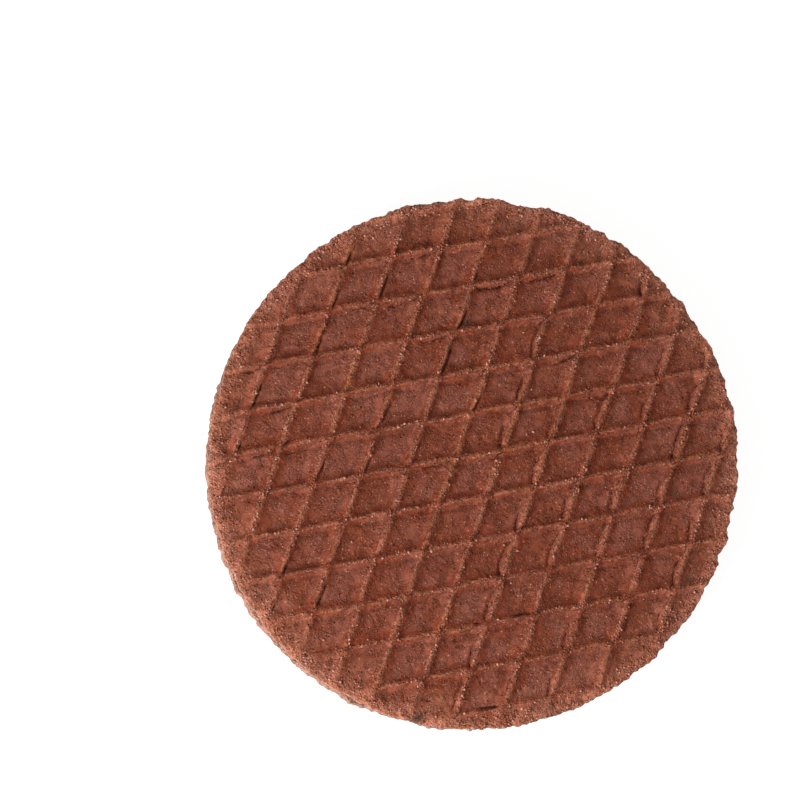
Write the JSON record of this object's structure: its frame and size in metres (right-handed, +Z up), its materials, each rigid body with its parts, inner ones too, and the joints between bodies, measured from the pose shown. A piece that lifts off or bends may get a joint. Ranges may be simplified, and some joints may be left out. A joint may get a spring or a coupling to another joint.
{
  "type": "stroopwafel",
  "caption": "Round cocoa stroopwafel: two thin waffle halves with a rhombic ridge lattice and a caramel syrup layer showing between them at the rim.",
  "frame": {"origin": "centre of the underside, on the plane that the wafer rests on", "axes": "+Z up through the thickness, towards the ridged face that shows; one ridge family rises 10.6 degrees from +X and the other 70.6 degrees"},
  "size_m": [0.0801, 0.0798, 0.0071],
  "materials": {
    "cocoa_waffle": "dry, porous, matt baked crumb",
    "caramel_syrup": "sticky, half-glossy set caramel"
  },
  "bodies": {
    "root": {"wafer_top": "cocoa_waffle", "syrup_filling": "caramel_syrup", "wafer_bottom": "cocoa_waffle"}
  },
  "joints": []
}
